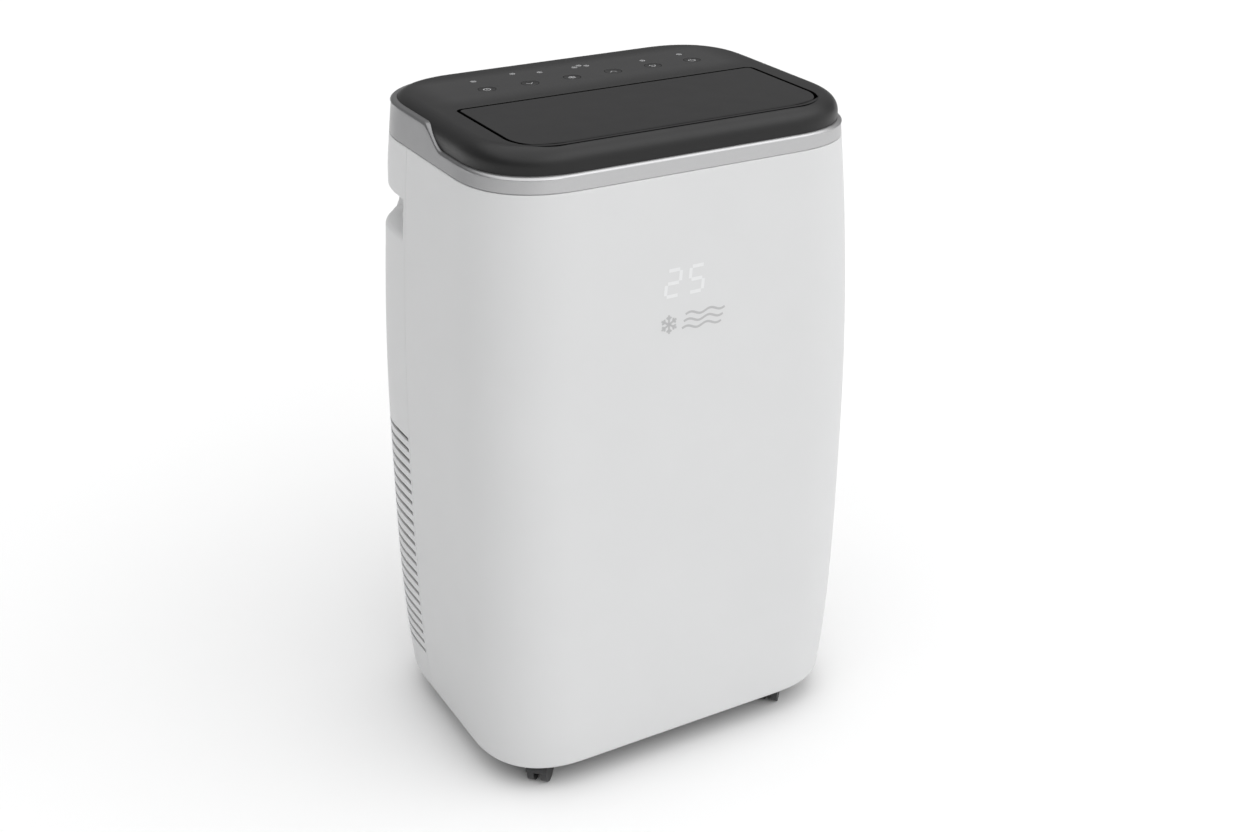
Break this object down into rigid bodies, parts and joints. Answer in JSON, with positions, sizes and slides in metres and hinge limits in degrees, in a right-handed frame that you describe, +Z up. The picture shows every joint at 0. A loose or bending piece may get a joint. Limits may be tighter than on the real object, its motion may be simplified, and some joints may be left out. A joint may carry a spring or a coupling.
{
  "type": "portable air conditioner",
  "caption": "Barrel-sided portable air conditioner on castors with a hinged top outlet flap, push buttons, side slots and a rear exhaust collar.",
  "frame": {"origin": "on the floor under the casing's centre", "axes": "+Z up, -Y towards the front, +X to the right as seen from the front"},
  "size_m": [0.4402, 0.3187, 0.6946],
  "materials": {
    "white_plastic": "satin moulded",
    "silver_paint": "metallic satin paint on plastic",
    "black_plastic": "soft satin",
    "dark_plastic": "moulded matt",
    "castor_plastic": "moulded satin",
    "duct_plastic": "moulded matt",
    "styrene_foam": "fine-grained moulded",
    "galvanised_steel": "zinc coated",
    "black_steel": "black enamel",
    "fin_aluminium": "rolled fins",
    "copper_pipe": "drawn copper",
    "rubber": "matt",
    "motor_shell": "pressed steel",
    "board_green": "laminate",
    "light_guide": "translucent",
    "filter_mesh": "woven nylon on a frame"
  },
  "bodies": {
    "casing": {"base_pan": "dark_plastic", "front_panel": "white_plastic", "rear_panel": "white_plastic", "trim_ring": "silver_paint", "top_cover": "black_plastic", "flap_motor": "motor_shell", "control_board": "board_green", "indicator_lights": "light_guide", "outlet_duct": "duct_plastic", "chassis_posts": "galvanised_steel", "deck_tray": "dark_plastic", "cord_gland": "dark_plastic", "electrical_box": "dark_plastic", "compressor": "black_steel", "compressor_mounts": "rubber", "evaporator": "fin_aluminium", "condenser": "fin_aluminium", "refrigerant_pipes": "copper_pipe", "lower_blower": "styrene_foam", "lower_fan_motor": "motor_shell", "upper_blower": "styrene_foam", "upper_fan_motor": "motor_shell", "exhaust_collar": "duct_plastic", "display_board": "board_green", "casing_screws": "galvanised_steel"},
    "flap": {"outlet_flap": "black_plastic"},
    "lower_intake": {"lower_grille": "white_plastic", "lower_filter": "filter_mesh"},
    "upper_intake": {"upper_grille": "white_plastic", "upper_filter": "filter_mesh"},
    "drain_plug_lower": {"drain_plug_lower": "rubber"},
    "drain_plug_upper": {"drain_plug_upper": "rubber"},
    "lower_fan": {"lower_fan": "dark_plastic"},
    "upper_fan": {"upper_fan": "dark_plastic"},
    "vane_link": {"vane_link": "dark_plastic"},
    "button_1": {"button_1": "black_plastic"},
    "button_2": {"button_2": "black_plastic"},
    "button_3": {"button_3": "black_plastic"},
    "button_4": {"button_4": "black_plastic"},
    "button_5": {"button_5": "black_plastic"},
    "button_6": {"button_6": "black_plastic"},
    "swing_vane_1": {"swing_vane_1": "dark_plastic"},
    "swing_vane_2": {"swing_vane_2": "dark_plastic"},
    "swing_vane_3": {"swing_vane_3": "dark_plastic"},
    "swing_vane_4": {"swing_vane_4": "dark_plastic"},
    "swing_vane_5": {"swing_vane_5": "dark_plastic"},
    "swing_vane_6": {"swing_vane_6": "dark_plastic"},
    "castor_1": {"castor_housing_1": "castor_plastic"},
    "wheels_1": {"castor_wheel_1": "castor_plastic"},
    "castor_2": {"castor_housing_2": "castor_plastic"},
    "wheels_2": {"castor_wheel_2": "castor_plastic"},
    "castor_3": {"castor_housing_3": "castor_plastic"},
    "wheels_3": {"castor_wheel_3": "castor_plastic"},
    "castor_4": {"castor_housing_4": "castor_plastic"},
    "wheels_4": {"castor_wheel_4": "castor_plastic"}
  },
  "joints": [
    {"name": "flap_hinge", "type": "hinge", "parent": "casing", "child": "flap", "pos_m": [0, 0.005, 0.6906], "axis": [-1, 0, 0], "range_deg": [0, 75]},
    {"name": "button_1_press", "type": "slide", "parent": "casing", "child": "button_1", "axis": [0, 0, -1], "range_m": [0, 0.001], "stiffness_N_per_m": 1200, "springref_m": -0.0004},
    {"name": "button_2_press", "type": "slide", "parent": "casing", "child": "button_2", "axis": [0, 0, -1], "range_m": [0, 0.001], "stiffness_N_per_m": 1200, "springref_m": -0.0004},
    {"name": "button_3_press", "type": "slide", "parent": "casing", "child": "button_3", "axis": [0, 0, -1], "range_m": [0, 0.001], "stiffness_N_per_m": 1200, "springref_m": -0.0004},
    {"name": "button_4_press", "type": "slide", "parent": "casing", "child": "button_4", "axis": [0, 0, -1], "range_m": [0, 0.001], "stiffness_N_per_m": 1200, "springref_m": -0.0004},
    {"name": "button_5_press", "type": "slide", "parent": "casing", "child": "button_5", "axis": [0, 0, -1], "range_m": [0, 0.001], "stiffness_N_per_m": 1200, "springref_m": -0.0004},
    {"name": "button_6_press", "type": "slide", "parent": "casing", "child": "button_6", "axis": [0, 0, -1], "range_m": [0, 0.001], "stiffness_N_per_m": 1200, "springref_m": -0.0004},
    {"name": "vane_1_swing", "type": "hinge", "parent": "casing", "child": "swing_vane_1", "pos_m": [-0.125, -0.065, 0.664], "axis": [0, 1, 0], "range_deg": [-30, 30]},
    {"name": "vane_2_swing", "type": "hinge", "parent": "casing", "child": "swing_vane_2", "pos_m": [-0.075, -0.065, 0.664], "axis": [0, 1, 0], "range_deg": [-30, 30]},
    {"name": "vane_3_swing", "type": "hinge", "parent": "casing", "child": "swing_vane_3", "pos_m": [-0.025, -0.065, 0.664], "axis": [0, 1, 0], "range_deg": [-30, 30]},
    {"name": "vane_4_swing", "type": "hinge", "parent": "casing", "child": "swing_vane_4", "pos_m": [0.025, -0.065, 0.664], "axis": [0, 1, 0], "range_deg": [-30, 30]},
    {"name": "vane_5_swing", "type": "hinge", "parent": "casing", "child": "swing_vane_5", "pos_m": [0.075, -0.065, 0.664], "axis": [0, 1, 0], "range_deg": [-30, 30]},
    {"name": "vane_6_swing", "type": "hinge", "parent": "casing", "child": "swing_vane_6", "pos_m": [0.125, -0.065, 0.664], "axis": [0, 1, 0], "range_deg": [-30, 30]},
    {"name": "vane_link_slide", "type": "slide", "parent": "casing", "child": "vane_link", "axis": [-1, 0, 0], "range_m": [-0.0075, 0.0075]},
    {"name": "lower_fan_spin", "type": "hinge", "parent": "casing", "child": "lower_fan", "pos_m": [0.085, 0.01, 0.158], "axis": [0, 1, 0], "continuous": true},
    {"name": "upper_fan_spin", "type": "hinge", "parent": "casing", "child": "upper_fan", "pos_m": [-0.025, -0.065, 0.512], "axis": [0, 1, 0], "continuous": true},
    {"name": "lower_intake_pull", "type": "slide", "parent": "casing", "child": "lower_intake", "axis": [0, 1, 0], "range_m": [0, 0.06]},
    {"name": "upper_intake_pull", "type": "slide", "parent": "casing", "child": "upper_intake", "axis": [0, 1, 0], "range_m": [0, 0.06]},
    {"name": "lower_drain_pull", "type": "slide", "parent": "casing", "child": "drain_plug_lower", "axis": [0, 1, 0], "range_m": [0, 0.03]},
    {"name": "upper_drain_pull", "type": "slide", "parent": "casing", "child": "drain_plug_upper", "axis": [0, 1, 0], "range_m": [0, 0.03]},
    {"name": "castor_1_swivel", "type": "hinge", "parent": "casing", "child": "castor_1", "pos_m": [-0.146, -0.108, 0.05], "axis": [0, 0, 1], "continuous": true},
    {"name": "wheels_1_roll", "type": "hinge", "parent": "castor_1", "child": "wheels_1", "pos_m": [-0.15938, -0.12286, 0.017], "axis": [0.7431, -0.6691, 0], "continuous": true},
    {"name": "castor_2_swivel", "type": "hinge", "parent": "casing", "child": "castor_2", "pos_m": [0.146, -0.108, 0.05], "axis": [0, 0, 1], "continuous": true},
    {"name": "wheels_2_roll", "type": "hinge", "parent": "castor_2", "child": "wheels_2", "pos_m": [0.13262, -0.12286, 0.017], "axis": [0.7431, -0.6691, 0], "continuous": true},
    {"name": "castor_3_swivel", "type": "hinge", "parent": "casing", "child": "castor_3", "pos_m": [-0.146, 0.108, 0.05], "axis": [0, 0, 1], "continuous": true},
    {"name": "wheels_3_roll", "type": "hinge", "parent": "castor_3", "child": "wheels_3", "pos_m": [-0.15938, 0.09314, 0.017], "axis": [0.7431, -0.6691, 0], "continuous": true},
    {"name": "castor_4_swivel", "type": "hinge", "parent": "casing", "child": "castor_4", "pos_m": [0.146, 0.108, 0.05], "axis": [0, 0, 1], "continuous": true},
    {"name": "wheels_4_roll", "type": "hinge", "parent": "castor_4", "child": "wheels_4", "pos_m": [0.13262, 0.09314, 0.017], "axis": [0.7431, -0.6691, 0], "continuous": true}
  ],
  "couplings": [
    {"joint": "vane_1_swing", "follows": "vane_link_slide", "rad_per_m": 69.8},
    {"joint": "vane_2_swing", "follows": "vane_link_slide", "rad_per_m": 69.8},
    {"joint": "vane_3_swing", "follows": "vane_link_slide", "rad_per_m": 69.8},
    {"joint": "vane_4_swing", "follows": "vane_link_slide", "rad_per_m": 69.8},
    {"joint": "vane_5_swing", "follows": "vane_link_slide", "rad_per_m": 69.8},
    {"joint": "vane_6_swing", "follows": "vane_link_slide", "rad_per_m": 69.8}
  ]
}
